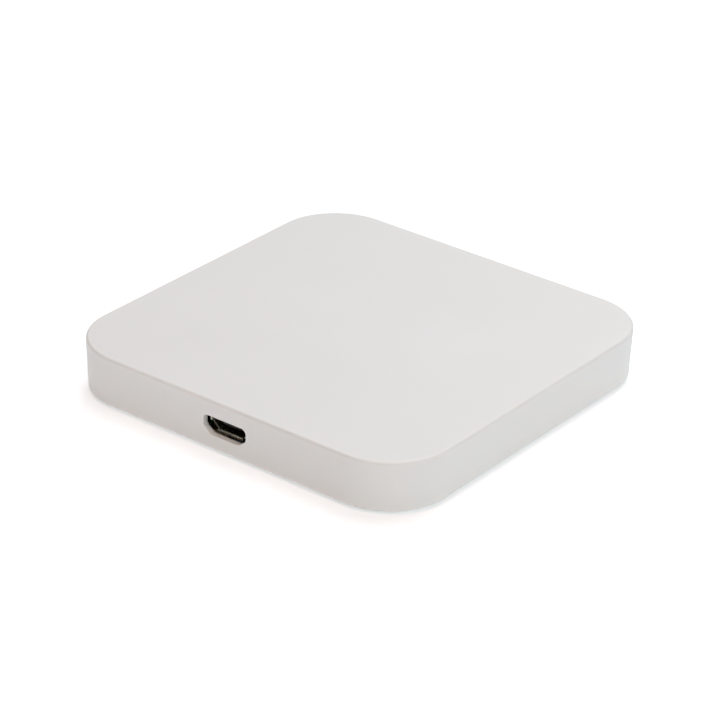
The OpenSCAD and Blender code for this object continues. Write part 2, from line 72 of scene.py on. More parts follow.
# Casing
HALF = shell_high.x
RIM_Z = shell_low.z
TOP_Z = shell_high.z
CORNER_R = 11.3 * MM
CORE = HALF - CORNER_R
TOP_EDGE_R = 0.5 * MM
LOW_EDGE_R = 0.55 * MM
DRAFT = math.tan(math.radians(1.8))
WALL = 1.4 * MM
ROOF = 1.4 * MM
INNER = HALF - WALL
ROOF_Z = TOP_Z - ROOF

# Base plate and screws
PLATE_TOP = plate_low.z + 1.3 * MM
PLATE_EDGE_R = 0.15 * MM
COLLAR_R = 2.4 * MM
COLLAR_H = 0.8 * MM
BOSS_R = 2.3 * MM
RIB_T = 1.0 * MM
WELD = 0.2 * MM
CASE_HEAD_R = 1.8 * MM
CASE_SHANK_R = 1.0 * MM
CASE_SEAT_Z = plate_low.z + 1.1 * MM
CASE_SCREWS = [
    Vector((x * (screws_high.x - CASE_HEAD_R), y * (screws_high.y - CASE_HEAD_R), 0))
    for x in (-1, 1) for y in (-1, 1)
]
BOARD_HEAD_R = 1.5 * MM
BOARD_SHANK_R = 0.8 * MM
POST_R = 2.1 * MM
POST = Vector((small_screws_high.x - BOARD_HEAD_R, small_screws_high.y - BOARD_HEAD_R, 0))
BOARD_SCREWS = [Vector((POST.x, -POST.y, 0)), Vector((-POST.x, POST.y, 0))]
BOARD_PEGS = [Vector((POST.x, POST.y, 0)), Vector((-POST.x, -POST.y, 0))]
FOOT = (foot_low + foot_high) / 2
FOOT_R = (foot_high.x - foot_low.x) / 2
FOOT_RECESS = 0.5 * MM

# Socket
SOCKET_W = 6.9 * MM
SOCKET_H = 1.85 * MM
SOCKET_CUT = 1.0 * MM
SOCKET_SHEET = 0.25 * MM
SOCKET_MOUTH = -(INNER - 0.25 * MM)
SOCKET_REAR = SOCKET_MOUTH + 5 * MM
SOCKET_Z = board_high.z + SOCKET_SHEET + SOCKET_H / 2
PORT_W = 8.4 * MM
PORT_H = 3.1 * MM
PORT_CUT_W = 1.6 * MM
PORT_CUT_H = 1.2 * MM
PORT_Z = SOCKET_Z + 0.03 * MM
HOLD_W = 6.0 * MM
HOLD_D = 3.0 * MM
LIP = 0.2 * MM
MOUTH_GROWTH = 0.24 * MM

# Button and lights
CAP_W = 6.0 * MM
CAP_H = 2.6 * MM
CAP_EDGE_R = 0.25 * MM
BUTTON_FIT = 0.15 * MM
BUTTON_Z = (cap_low.z + cap_high.z) / 2
SMALL_LIP = 0.08 * MM
ROUND_END = 0.97
LIGHT_X = (pipe_low.x + pipe_high.x) / 2
ROW_X = 8.0 * MM
ROW_PITCH = 2.4 * MM
ABS_PALE = "#e9e8e6"
ABS_WARM = "#e7e6e3"
PIPE_R = 0.8 * MM
PIPE_FIT = 0.05 * MM
MASK_T = 0.03 * MM
TRACE_BLOCK = 5.5 * MM
TRACE_PITCH = 0.9 * MM
TRACE_W = 0.25 * MM
TRACE_GAP = 0.16 * MM
DOME_R = 1.1 * MM
DOME_RISE = 0.4 * MM
DOME_T = 0.08 * MM
VIA_PITCH = 3.2 * MM
TRACE_SHARE = 0.33
BORDER_OUTER = 0.65 * MM
BORDER_INNER = 1.0 * MM
LED_WINDOW = 0.9 * MM

# Looks
COLOUR = {"data_type": "RGBA", "out": 2}
EPOXY_DARK = "#141415"
EPOXY_PALE = "#38383a"


# ---------------------------------------------------------------- mesh helpers
def bevel(bm, geom, offset, segments, affect="EDGES"):
    """Rounds edges or vertices to a circular profile."""
    return bmesh.ops.bevel(
        bm, geom=geom, offset=offset, offset_type="OFFSET", segments=segments,
        affect=affect, profile=0.5, material=-1, clamp_overlap=True,
    )


def box_mesh(bm, low, high, edge_r=0.0, segments=2):
    """Adds a box between two corners, with its edges rounded."""
    low, high = Vector(low), Vector(high)
    place = Matrix.Translation((low + high) / 2) @ Matrix.Diagonal((*(high - low), 1))
    verts = bmesh.ops.create_cube(bm, size=1, matrix=place)["verts"]
    if edge_r:
        bevel(bm, list({e for v in verts for e in v.link_edges}), edge_r, segments)


def new_faces(grown):
    return [g for g in grown["geom"] if isinstance(g, bmesh.types.BMFace)]


def sink(bm, face, vector, scale=1.0, keep=False):
    """Extrudes a face along a vector and returns the new end face. Keeping the old face closes the start."""
    end = new_faces(bmesh.ops.extrude_face_region(bm, geom=[face]))[0]
    if not keep:
        bmesh.ops.delete(bm, geom=[face], context="FACES")
    bmesh.ops.translate(bm, verts=end.verts, vec=vector)
    if scale != 1.0:
        middle = end.calc_center_median()
        bmesh.ops.scale(bm, verts=end.verts, vec=(scale,) * 3, space=Matrix.Translation(-middle))
    return end


def shrink(bm, face, amount, depth=0.0):
    """Insets a face: the same face is then the smaller one."""
    face.normal_update()
    bmesh.ops.inset_region(bm, faces=[face], thickness=amount, depth=depth, use_even_offset=True)
    return face


def round_over(bm, face, radius, vector, steps=4, convex=True):
    """Rounds a face's outline: its rim curves in while it moves along the vector by the radius."""
    along = Vector(vector).normalized() * radius
    for i in range(steps):
        a, b = (math.radians(90 * k / steps) for k in (i, i + 1))
        rise, run = math.sin(b) - math.sin(a), math.cos(a) - math.cos(b)
        if not convex:
            rise, run = run, rise
        shrink(bm, face, run * radius)
        bmesh.ops.translate(bm, verts=face.verts, vec=along * rise)
    return face


def open_end(bm, face):
    """Deletes a face and returns its edges, for a bridge or a fill."""
    edges = list(face.edges)
    bmesh.ops.delete(bm, geom=[face], context="FACES_ONLY")
    return edges


def fill_around(bm, face, loops):
    """Replaces a flat face with one that has holes at the given loops of edges."""
    normal = face.normal.copy()
    edges = open_end(bm, face)
    for loop in loops:
        edges += loop
    bmesh.ops.triangle_fill(bm, edges=edges, use_beauty=True, normal=normal)


def flat_face(bm, axis, level):
    """The largest face in the plane where that axis has that level."""
    def in_plane(face):
        return all(abs(v.co[axis] - level) < 2e-6 for v in face.verts)

    bm.normal_update()
    return max((f for f in bm.faces if in_plane(f)), key=lambda f: f.calc_area())


def rounded_points(corners, reaches, segments):
    """An outline's (a, b) points, with each corner rounded from `reach` along its sides."""
    scratch = bmesh.new()
    verts = [scratch.verts.new((a, b, 0)) for a, b in corners]
    scratch.faces.new(verts)
    for vert, reach in zip(verts, reaches):
        if reach:
            bevel(scratch, [vert], reach, segments, affect="VERTICES")
    bmesh.ops.remove_doubles(scratch, verts=scratch.verts, dist=1e-7)
    face = max(scratch.faces, key=lambda f: f.calc_area())
    points = [v.co.xy.copy() for v in face.verts]
    scratch.free()
    return points


def outline_on_wall(bm, y, corners, reaches, segments=6):
    """A face in the plane y, drawn by its (x, z) corners."""
    points = rounded_points(corners, reaches, segments)
    return bm.faces.new([bm.verts.new((a, y, b)) for a, b in points])


def outline_on_level(bm, z, corners, reaches, segments=6):
    """A face at the height z, drawn by its (x, y) corners."""
    points = rounded_points(corners, reaches, segments)
    return bm.faces.new([bm.verts.new((a, b, z)) for a, b in points])


def disc(bm, centre, radius, segments=32, axis="Z"):
    """A round face; axis says which way it looks."""
    place = Matrix.Translation(centre)
    if axis == "Y":
        place = place @ Matrix.Rotation(math.radians(-90), 4, "X")
    made = bmesh.ops.create_circle(bm, cap_ends=True, radius=radius, segments=segments, matrix=place)
    return made["verts"][0].link_faces[0]


def rectangle(w, h, cx=0.0, cy=0.0):
    """Corners of a rectangle by its half sizes."""
    return [(cx - w, cy - h), (cx + w, cy - h), (cx + w, cy + h), (cx - w, cy + h)]


def socket_corners(width, height, cut_w, cut_h, z):
    """Corners of a socket's outline, wide side up, with its two lower corners cut off."""
    w, h = width / 2, height / 2
    return [
        (-w, z - h + cut_h), (-w + cut_w, z - h), (w - cut_w, z - h),
        (w, z - h + cut_h), (w, z + h), (-w, z + h),
    ]


def piece(name, bm, materials, replaces=(), body=HOUSING, sharp=40):
    """Makes a bmesh a finished object that rides on a CAD body."""
    bmesh.ops.remove_doubles(bm, verts=bm.verts, dist=1e-7)
    bmesh.ops.recalc_face_normals(bm, faces=bm.faces)
    mesh = bpy.data.meshes.new(name)
    bm.to_mesh(mesh)
    bm.free()
    for m in materials:
        mesh.materials.append(m)
    mesh.shade_smooth()
    mesh.set_sharp_from_angle(angle=math.radians(sharp))
    obj = bpy.data.objects.new(name, mesh)
    bpy.context.scene.collection.objects.link(obj)
    normals = obj.modifiers.new("even shading", "WEIGHTED_NORMAL")
    normals.keep_sharp = True
    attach(obj, body)
    if replaces:
        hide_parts(*replaces)
    return obj


# ---------------------------------------------------------------- casing
def wall_opening(bm, face, y_inner, lip):
    """Turns an outline on the outer wall into a tunnel with a rounded mouth.

    Returns the edges of its outer and inner mouths."""
    outer = list(face.edges)
    y_outer = face.calc_center_median().y
    inward = Vector((0, math.copysign(1, y_inner - y_outer), 0))
    round_over(bm, face, lip, inward, convex=False)
    end = sink(bm, face, (0, y_inner - face.calc_center_median().y, 0))
    return outer, open_end(bm, end)


def draw_in(bm):
    """Slopes the outer walls in towards the bottom and leaves the inner walls upright."""
    for v in bm.verts:
        core = Vector((max(-CORE, min(CORE, v.co.x)), max(-CORE, min(CORE, v.co.y)), v.co.z))
        out = v.co - core
        if out.length < 1e-9:
            continue
        share = max(0.0, min(1.0, (out.length - (INNER - CORE)) / WALL))
        drop = max(0.0, TOP_Z - TOP_EDGE_R - v.co.z)
        v.co = core + out * (1 - share * drop * DRAFT / out.length)


def make_casing(plastic):
    bm = bmesh.new()
    box_mesh(bm, (-HALF, -HALF, RIM_Z), (HALF, HALF, TOP_Z))
    upright = [e for e in bm.edges if abs(e.verts[0].co.z - e.verts[1].co.z) > MM]
    bevel(bm, upright, CORNER_R, 28)
    for level, radius, segments in ((TOP_Z, TOP_EDGE_R, 8), (RIM_Z, LOW_EDGE_R, 6)):
        rim = [e for e in bm.edges if all(abs(v.co.z - level) < 1e-6 for v in e.verts)]
        bevel(bm, rim, radius, segments)
    # Cavity, open at the bottom
    floor = shrink(bm, flat_face(bm, 2, RIM_Z), WALL - LOW_EDGE_R)
    sink(bm, floor, (0, 0, ROOF_Z - RIM_Z))

    port = outline_on_wall(
        bm, -HALF,
        socket_corners(PORT_W + MOUTH_GROWTH, PORT_H + MOUTH_GROWTH, PORT_CUT_W, PORT_CUT_H, PORT_Z),
        [0.35 * MM] * 4 + [0.9 * MM] * 2,
    )
    outer, inner = wall_opening(bm, port, -INNER, LIP)
    fill_around(bm, flat_face(bm, 1, -HALF), [outer])
    fill_around(bm, flat_face(bm, 1, -INNER), [inner])

    w = CAP_W / 2 + BUTTON_FIT + SMALL_LIP
    h = CAP_H / 2 + BUTTON_FIT + SMALL_LIP
    openings = [outline_on_wall(bm, HALF, rectangle(w, h, 0, BUTTON_Z), [h * ROUND_END] * 4, 10)]
    for side in (-1, 1):
        openings.append(disc(bm, (side * LIGHT_X, HALF, BUTTON_Z), PIPE_R + PIPE_FIT + SMALL_LIP, 32, "Y"))
    loops = [wall_opening(bm, face, INNER, SMALL_LIP) for face in openings]
    fill_around(bm, flat_face(bm, 1, HALF), [outer for outer, _ in loops])
    fill_around(bm, flat_face(bm, 1, INNER), [inner for _, inner in loops])

    # Bosses for the screws, posts and pegs for the board
    roof_loops = []
    for at in CASE_SCREWS:
        roof_loops.append(boss(bm, at, PLATE_TOP + COLLAR_H, BOSS_R, CASE_SHANK_R + 0.05 * MM, 4.2 * MM))
    for at in BOARD_SCREWS:
        roof_loops.append(boss(bm, at, board_high.z, POST_R, BOARD_SHANK_R + 0.05 * MM, 3.2 * MM))
    for at in BOARD_PEGS:
        roof_loops.append(peg_post(bm, at))
    fill_around(bm, flat_face(bm, 2, ROOF_Z), roof_loops)
    draw_in(bm)
    # Ribs from the bosses to the wall, and the block that holds the socket down
    for at in CASE_SCREWS:
        end = Vector((math.copysign(INNER + WELD, at.x), at.y, ROOF_Z + WELD))
        low = Vector((min(at.x, end.x), at.y - RIB_T / 2, PLATE_TOP + COLLAR_H))
        box_mesh(bm, low, (max(at.x, end.x), at.y + RIB_T / 2, end.z), 0.1 * MM)
    middle = (SOCKET_MOUTH + SOCKET_REAR) / 2
    socket_roof = SOCKET_Z + SOCKET_H / 2 + SOCKET_SHEET + 0.02 * MM
    box_mesh(
        bm,
        (-HOLD_W / 2, middle - HOLD_D / 2, socket_roof),
        (HOLD_W / 2, middle + HOLD_D / 2, ROOF_Z + WELD),
        0.1 * MM,
    )
    return piece("casing_top", bm, [plastic], ["top_shell"])


def boss(bm, at, low_z, radius, bore_r, bore_depth):
    """A round boss hanging from the roof, with a blind bore. Returns its outline on the roof."""
    root = disc(bm, (at.x, at.y, ROOF_Z), radius)
    loop = list(root.edges)
    end = sink(bm, root, (0, 0, low_z - ROOF_Z + 0.15 * MM))
    end = round_over(bm, end, 0.15 * MM, (0, 0, -1), 2)
    end = shrink(bm, end, radius - 0.15 * MM - bore_r)
    sink(bm, end, (0, 0, bore_depth))
    return loop


def peg_post(bm, at):
    """A post that ends in a peg through the board. Returns its outline on the roof."""
    root = disc(bm, (at.x, at.y, ROOF_Z), POST_R)
    loop = list(root.edges)
    end = sink(bm, root, (0, 0, board_high.z - ROOF_Z))
    end = shrink(bm, end, POST_R - 0.75 * MM)
    end = sink(bm, end, (0, 0, board_low.z - board_high.z + 0.2 * MM))
    round_over(bm, end, 0.2 * MM, (0, 0, -1), 3)
    return loop


def make_base(plastic):
    bm = bmesh.new()
    half = plate_high.x
    box_mesh(bm, (-half, -half, plate_low.z), (half, half, PLATE_TOP))
    upright = [e for e in bm.edges if abs(e.verts[0].co.z - e.verts[1].co.z) > MM]
    bevel(bm, upright, 9.8 * MM, 24)
    for level in (plate_low.z, PLATE_TOP):
        rim = [e for e in bm.edges if all(abs(v.co.z - level) < 1e-6 for v in e.verts)]
        bevel(bm, rim, PLATE_EDGE_R, 3)

    under, over = [], []
    for x in (-1, 1):
        for y in (-1, 1):
            recess = disc(bm, (x * FOOT.x, y * FOOT.y, plate_low.z), FOOT_R + 0.2 * MM, 48)
            under.append(list(recess.edges))
            round_over(bm, recess, 0.1 * MM, (0, 0, 1), 2, convex=False)
            sink(bm, recess, (0, 0, FOOT_RECESS - 0.1 * MM))
    well = outline_on_level(
        bm, plate_low.z, rectangle(label_high.x + 0.2 * MM, label_high.y + 0.2 * MM), [1.5 * MM] * 4
    )
    under.append(list(well.edges))
    sink(bm, well, (0, 0, 0.15 * MM))
    for at in CASE_SCREWS:
        mouth = disc(bm, (at.x, at.y, plate_low.z), 2.1 * MM)
        under.append(list(mouth.edges))
        round_over(bm, mouth, 0.1 * MM, (0, 0, 1), 2, convex=False)
        seat = sink(bm, mouth, (0, 0, CASE_SEAT_Z - plate_low.z - 0.1 * MM))
        lower = open_end(bm, shrink(bm, seat, 0.85 * MM))
        collar = disc(bm, (at.x, at.y, PLATE_TOP), COLLAR_R)
        over.append(list(collar.edges))
        collar = sink(bm, collar, (0, 0, plate_high.z - PLATE_TOP))
        upper = open_end(bm, shrink(bm, collar, COLLAR_R - 1.15 * MM))
        bmesh.ops.bridge_loops(bm, edges=lower + upper)
    side_pad = 0.6 * board_high.x
    for x, y in [(at.x, at.y) for at in BOARD_PEGS] + [
        (0, board_high.y - 4 * MM), (0, -board_high.y + 4 * MM), (side_pad, 0), (-side_pad, 0)
    ]:
        pad = disc(bm, (x, y, PLATE_TOP), 1.4 * MM, 24)
        over.append(list(pad.edges))
        sink(bm, pad, (0, 0, board_low.z - PLATE_TOP))
    for at in BOARD_SCREWS:
        pocket = disc(bm, (at.x, at.y, PLATE_TOP), 1.9 * MM, 24)
        over.append(list(pocket.edges))
        sink(bm, pocket, (0, 0, -0.4 * MM))
    fill_around(bm, flat_face(bm, 2, plate_low.z), under)
    fill_around(bm, flat_face(bm, 2, PLATE_TOP), over)
    return piece("base_cover", bm, [plastic], ["base_plate"])


def make_feet(rubber):
    """Stick-on feet: flat pads with a rounded edge and a shallow dished ring."""
    for node, x, y in (
        ("foot_front_left", -1, -1), ("foot_front_right", 1, -1),
        ("foot_rear_left", -1, 1), ("foot_rear_right", 1, 1),
    ):
        bm = bmesh.new()
        top = disc(bm, (x * FOOT.x, y * FOOT.y, foot_high.z), FOOT_R - 0.05 * MM, 64)
        end = sink(bm, top, (0, 0, foot_low.z + 0.25 * MM - foot_high.z), keep=True)
        end = round_over(bm, end, 0.25 * MM, (0, 0, -1), 5)
        end = shrink(bm, end, 0.6 * MM)
        end = shrink(bm, end, 0.15 * MM)
        bmesh.ops.translate(bm, verts=end.verts, vec=(0, 0, 0.08 * MM))
        piece(node + "_pad", bm, [rubber], [node])


def make_screws(name, node, places, seat_z, head_r, head_h, shank_r, length, steel):
    """Pan-head screws, head down, with a tapered cross drive and a coarse thread."""
    bm = bmesh.new()
    for at in places:
        seat = disc(bm, (at.x, at.y, seat_z), head_r, 40)
        rim = list(seat.edges)
        end = sink(bm, seat, (0, 0, -head_h + 0.3 * MM))
        end = round_over(bm, end, 0.3 * MM, (0, 0, -1), 4)
        drive = cross(bm, at, seat_z - head_h, head_r * 0.62, 0.17 * MM)
        loop = list(drive.edges)
        sink(bm, drive, (0, 0, head_h * 0.6), 0.62)
        fill_around(bm, end, [loop])
        # Shank: the seat narrows to the core, which runs up to a point
        core_r = shank_r * 0.78
        neck = bm.faces.new(ring_of(rim))
        neck = shrink(bm, neck, head_r - core_r)
        neck = sink(bm, neck, (0, 0, length - shank_r))
        sink(bm, neck, (0, 0, shank_r), 0.2)
        thread(bm, at, seat_z + 0.4 * MM, core_r, shank_r, length - shank_r - 0.4 * MM)
    return piece(name, bm, [steel], [node], sharp=35)


def ring_of(edges):
    """The vertices of a closed loop of edges, in order."""
    left = list(edges)
    first = left.pop(0)
    ring = [first.verts[0], first.verts[1]]
    while left:
        link = next(e for e in left if ring[-1] in e.verts)
        left.remove(link)
        ring.append(link.other_vert(ring[-1]))
    return ring[:-1]


def cross(bm, at, z, reach, half_w):
    """A cross-shaped face for a screw's drive."""
    quarter = [(half_w, half_w), (half_w, reach), (-half_w, reach)]
    points = []
    for i in range(4):
        c, s = round(math.cos(math.pi / 2 * i)), round(math.sin(math.pi / 2 * i))
        points += [(at.x + c * x - s * y, at.y + s * x + c * y) for x, y in quarter]
    return bm.faces.new([bm.verts.new((x, y, z)) for x, y in points])


def thread(bm, at, low_z, core_r, crest_r, height, pitch=0.7 * MM):
    """A helical ridge round a screw's core."""
    turns = int(height / pitch)
    ridge = 0.3 * pitch
    profile = [(core_r - 0.05 * MM, -ridge), (crest_r, 0), (core_r - 0.05 * MM, ridge)]
    face = bm.faces.new([bm.verts.new((at.x + r, at.y, low_z + dz)) for r, dz in profile])
    steps = 18 * turns
    bmesh.ops.spin(
        bm, geom=[face], cent=at, axis=(0, 0, 1), dvec=(0, 0, height / steps),
        angle=math.tau * turns, steps=steps, use_merge=False, use_duplicate=False,
    )


def make_label(film):
    bm = bmesh.new()
    face = outline_on_level(bm, label_high.z, rectangle(label_high.x, label_high.y), [1.3 * MM] * 4)
    end = sink(bm, face, (0, 0, label_low.z - label_high.z + 0.03 * MM), keep=True)
    round_over(bm, end, 0.03 * MM, (0, 0, -1), 2)
    return piece("blank_label", bm, [film], ["rating_label"])


# ---------------------------------------------------------------- socket
def make_socket_shell(steel):
    """Stamped shell: a folded tube whose mouth flares in four separate lips."""
    bm = bmesh.new()
    corners = socket_corners(
        SOCKET_W + SOCKET_SHEET, SOCKET_H + SOCKET_SHEET,
        SOCKET_CUT + 0.07 * MM, SOCKET_CUT + 0.07 * MM, SOCKET_Z,
    )
    start = 0.45 * MM
    front = outline_on_wall(bm, SOCKET_MOUTH + start, corners, [0.15 * MM] * 4 + [0.3 * MM] * 2, 5)
    mouth = list(front.edges)
    rear = sink(bm, front, (0, SOCKET_REAR - SOCKET_MOUTH - start, 0))
    open_end(bm, rear)
    flat_sides = [e for e in mouth if e.is_valid and e.calc_length() > 0.35 * MM]
    for edge in flat_sides:
        a, b = (v.co.copy() for v in edge.verts)
        slanted = abs(a.x - b.x) > 0.2 * MM and abs(a.z - b.z) > 0.2 * MM
        if slanted:
            continue
        middle = (a + b) / 2
        if abs(a.z - b.z) < 1e-6:
            low_side = middle.z < SOCKET_Z
            if low_side:
                flare_lip(bm, edge, Vector((0, 0, -1)), 0.62 * MM, 60, 0.3 * MM)
            else:
                flare_lip(bm, edge, Vector((0, 0, 1)), 0.58 * MM, 42)
        else:
            flare_lip(bm, edge, Vector((math.copysign(1, middle.x), 0, 0)), 0.58 * MM, 42)
    bmesh.ops.recalc_face_normals(bm, faces=bm.faces)
    bmesh.ops.solidify(bm, geom=bm.faces[:], thickness=SOCKET_SHEET)
    for x in (-1, 1):
        for y in (1.9 * MM, 3.9 * MM):
            middle = x * (SOCKET_W / 2 + SOCKET_SHEET / 2)
            box_mesh(
                bm,
                (middle - SOCKET_SHEET / 2, SOCKET_MOUTH + y - 0.4 * MM, socket_low.z),
                (middle + SOCKET_SHEET / 2, SOCKET_MOUTH + y + 0.4 * MM, SOCKET_Z),
                0.04 * MM,
            )
    return piece("socket_shell", bm, [steel], ["usb_shell"])


def flare_lip(bm, edge, outward, length, degrees, widen=0.0):
    """Extends one edge of the mouth forwards and curls it outwards, wider at its end if asked."""
    steps, bend = 5, math.radians(degrees)
    for i in range(steps):
        grown = bmesh.ops.extrude_edge_only(bm, edges=[edge])
        verts = [g for g in grown["geom"] if isinstance(g, bmesh.types.BMVert)]
        edge = [g for g in grown["geom"] if isinstance(g, bmesh.types.BMEdge)][0]
        angle = bend * (i + 1) / steps
        forward = Vector((0, -math.cos(angle), 0)) + outward * math.sin(angle)
        bmesh.ops.translate(bm, verts=verts, vec=forward * length / steps)
        for v in verts:
            v.co.x += math.copysign(widen / steps, v.co.x)


def make_tongue(black):
    """Moulded insulator: a block across the rear with a thin tongue reaching forwards."""
    bm = bmesh.new()
    corners = socket_corners(SOCKET_W - 0.04 * MM, SOCKET_H - 0.04 * MM, SOCKET_CUT, SOCKET_CUT, SOCKET_Z)
    face = outline_on_wall(bm, tongue_high.y, corners, [0.2 * MM] * 4 + [0.3 * MM] * 2, 4)
    end = sink(bm, face, (0, -1.2 * MM, 0), keep=True)
    middle_z = SOCKET_Z + 0.25 * MM
    base_y = end.calc_center_median().y
    corners = rectangle(1.85 * MM, 0.3 * MM, 0, middle_z)
    tongue = outline_on_wall(bm, base_y, corners, [0.06 * MM] * 4, 2)
    loop = list(tongue.edges)
    tip = sink(bm, tongue, (0, tongue_low.y - tongue.calc_center_median().y + 0.1 * MM, 0))
    round_over(bm, tip, 0.1 * MM, (0, -1, 0), 2)
    fill_around(bm, end, [loop])
    return piece("socket_tongue", bm, [black], ["usb_tongue"])


def make_contacts(gold):
    """Five strips along the underside of the tongue, each with a foot on the board."""
    bm = bmesh.new()
    half_w, sheet = 0.125 * MM, 0.15 * MM
    strip_z = SOCKET_Z + 0.25 * MM - 0.3 * MM - sheet
    for i in range(5):
        x = (i - 2) * 0.65 * MM
        tip = outline_on_wall(
            bm, contacts_low.y, rectangle(half_w, sheet / 2, x, strip_z + sheet / 2), [0.03 * MM] * 4, 2
        )
        run = sink(bm, tip, (0, SOCKET_REAR + sheet - contacts_low.y, 0), keep=True)
        run = sink(bm, run, (0, sheet, board_high.z - strip_z))
        sink(bm, run, (0, contacts_high.y - SOCKET_REAR - 2 * sheet, 0))
    return piece("socket_contacts", bm, [gold], ["usb_contacts"])


# ---------------------------------------------------------------- button and lights
def make_button(plastic):
    """Button cap: a rounded bar in the wall, a flange that keeps it in, and a nub on the switch."""
    bm = bmesh.new()
    flange_front = INNER - 0.1 * MM
    flange_rear = flange_front - 0.6 * MM
    flange = outline_on_wall(
        bm, flange_rear, rectangle(cap_high.x, (cap_high.z - cap_low.z) / 2, 0, BUTTON_Z), [0.5 * MM] * 4, 4
    )
    front = sink(bm, flange, (0, flange_front - flange_rear, 0), keep=True)
    bar = outline_on_wall(
        bm, flange_front, rectangle(CAP_W / 2, CAP_H / 2, 0, BUTTON_Z), [CAP_H / 2 * ROUND_END] * 4, 10
    )
    loop = list(bar.edges)
    end = sink(bm, bar, (0, cap_high.y - CAP_EDGE_R - flange_front, 0))
    end = round_over(bm, end, CAP_EDGE_R, (0, 1, 0), 5)
    # Shallow dish for the fingertip
    end = shrink(bm, end, 0.25 * MM)
    shrink(bm, end, 0.2 * MM)
    bmesh.ops.translate(bm, verts=end.verts, vec=(0, -0.06 * MM, 0))
    fill_around(bm, front, [loop])
    nub = outline_on_wall(bm, flange_rear, rectangle(1.2 * MM, 0.8 * MM, 0, BUTTON_Z), [0.2 * MM] * 4, 3)
    loop = list(nub.edges)
    tip = sink(bm, nub, (0, cap_low.y - flange_rear + 0.1 * MM, 0))
    round_over(bm, tip, 0.1 * MM, (0, -1, 0), 2)
    fill_around(bm, flange, [loop])
    return piece("pairing_button", bm, [plastic], ["button_cap"], body=BUTTON)


def make_snap_dome(steel):
    """Sprung cap of the switch: a thin slice of a sphere."""
    bm = bmesh.new()
    sphere_r = (DOME_R * DOME_R + DOME_RISE * DOME_RISE) / (2 * DOME_RISE)
    middle = Vector(((dome_low.x + dome_high.x) / 2, dome_low.y + DOME_RISE - sphere_r, BUTTON_Z))
    turn = Matrix.Translation(middle) @ Matrix.Rotation(math.radians(-90), 4, "X")
    bmesh.ops.create_uvsphere(bm, u_segments=48, v_segments=96, radius=sphere_r, matrix=turn)
    bmesh.ops.bisect_plane(
        bm, geom=bm.verts[:] + bm.edges[:] + bm.faces[:], plane_co=(0, dome_low.y, 0),
        plane_no=(0, 1, 0), clear_inner=True,
    )
    bmesh.ops.recalc_face_normals(bm, faces=bm.faces)
    bmesh.ops.solidify(bm, geom=bm.faces[:], thickness=DOME_T)
    obj = piece("switch_dome", bm, [steel], ["snap_dome"])
    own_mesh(obj)


def make_light_pipes(clear):
    """Frosted rods in the wall, each with a block that takes in the light of its LED."""
    for side, node in ((-1, "power_light_pipe"), (1, "network_light_pipe")):
        bm = bmesh.new()
        x = side * LIGHT_X
        block = outline_on_wall(
            bm, pipe_low.y,
            rectangle(1.1 * MM, (pipe_high.z - pipe_low.z) / 2, x, (pipe_high.z + pipe_low.z) / 2),
            [0.15 * MM] * 4, 3,
        )
        front = sink(bm, block, (0, INNER - pipe_low.y - 0.01 * MM, 0), keep=True)
        rod = disc(bm, (x, front.calc_center_median().y, BUTTON_Z), PIPE_R, 40, "Y")
        loop = list(rod.edges)
        end = sink(bm, rod, (0, pipe_high.y - 0.15 * MM - front.calc_center_median().y, 0))
        round_over(bm, end, 0.15 * MM, (0, 1, 0), 4)
        fill_around(bm, front, [loop])
        piece(node + "_lens", bm, [clear], [node])


# ---------------------------------------------------------------- materials
def linear(hex_colour):
    """An sRGB hex colour as linear RGBA."""
    parts = [int(hex_colour[i : i + 2], 16) / 255 for i in (1, 3, 5)]
    return (*[c / 12.92 if c <= 0.04045 else ((c + 0.055) / 1.055) ** 2.4 for c in parts], 1)


def node(tree, kind, links=None, out=0, **settings):
    """Adds a shader node and returns one of its outputs. Each of the links fills an input with a
    value, a hex colour or another node's output."""
    made = tree.nodes.new(kind)
    for key, value in settings.items():
        setattr(made, key, value)
    for key, value in (links or {}).items():
        if isinstance(value, bpy.types.NodeSocket):
            tree.links.new(value, made.inputs[key])
        else:
            made.inputs[key].default_value = linear(value) if isinstance(value, str) else value
    return made.outputs[out]


def start(name, roughness, values):
    """A new material, with its node tree and its object coordinates."""
    material = bpy.data.materials.new(name)
    material.use_nodes = True
    tree = material.node_tree
    for key, value in {"Roughness": roughness, **values}.items():
        tree.nodes["Principled BSDF"].inputs[key].default_value = value
    return material, tree, node(tree, "ShaderNodeTexCoord", out="Object")


def feed(tree, **outputs):
    """Links outputs to the shader's inputs, whose names have a space where these have an underscore."""
    for key, output in outputs.items():
        tree.links.new(output, tree.nodes["Principled BSDF"].inputs[key.replace("_", " ")])


def grain(tree, place, size, detail=2.0, stretch=(1, 1, 1)):
    """Noise with features of a size in mm, drawn out along the axes where stretch is below 1."""
    scale = [1000 / size * s for s in stretch]
    fitted = node(tree, "ShaderNodeMapping", {"Vector": place, "Scale": scale})
    return node(tree, "ShaderNodeTexNoise", {"Vector": fitted, "Scale": 1.0, "Detail": detail})


def tones(tree, pattern, first, second, part=(0.3, 0.7), share=(0, 1)):
    """Colour that goes from one tone to another along a part of a pattern's range."""
    factor = node(tree, "ShaderNodeMapRange", {0: pattern, 1: part[0], 2: part[1], 3: share[0], 4: share[1]})
    return node(tree, "ShaderNodeMix", {0: factor, 6: first, 7: second}, **COLOUR)


def polish(tree, pattern, low, high, depth, height=None):
    """Feeds the shader a roughness that varies with a pattern, and relief of a depth in mm along the
    same pattern or another one. Returns the roughness."""
    rough = node(tree, "ShaderNodeMapRange", {0: pattern, 1: 0.3, 2: 0.7, 3: low, 4: high})
    links = {"Height": height or pattern, "Distance": depth * MM, "Strength": 1.0}
    feed(tree, Roughness=rough, Normal=node(tree, "ShaderNodeBump", links))
    return rough


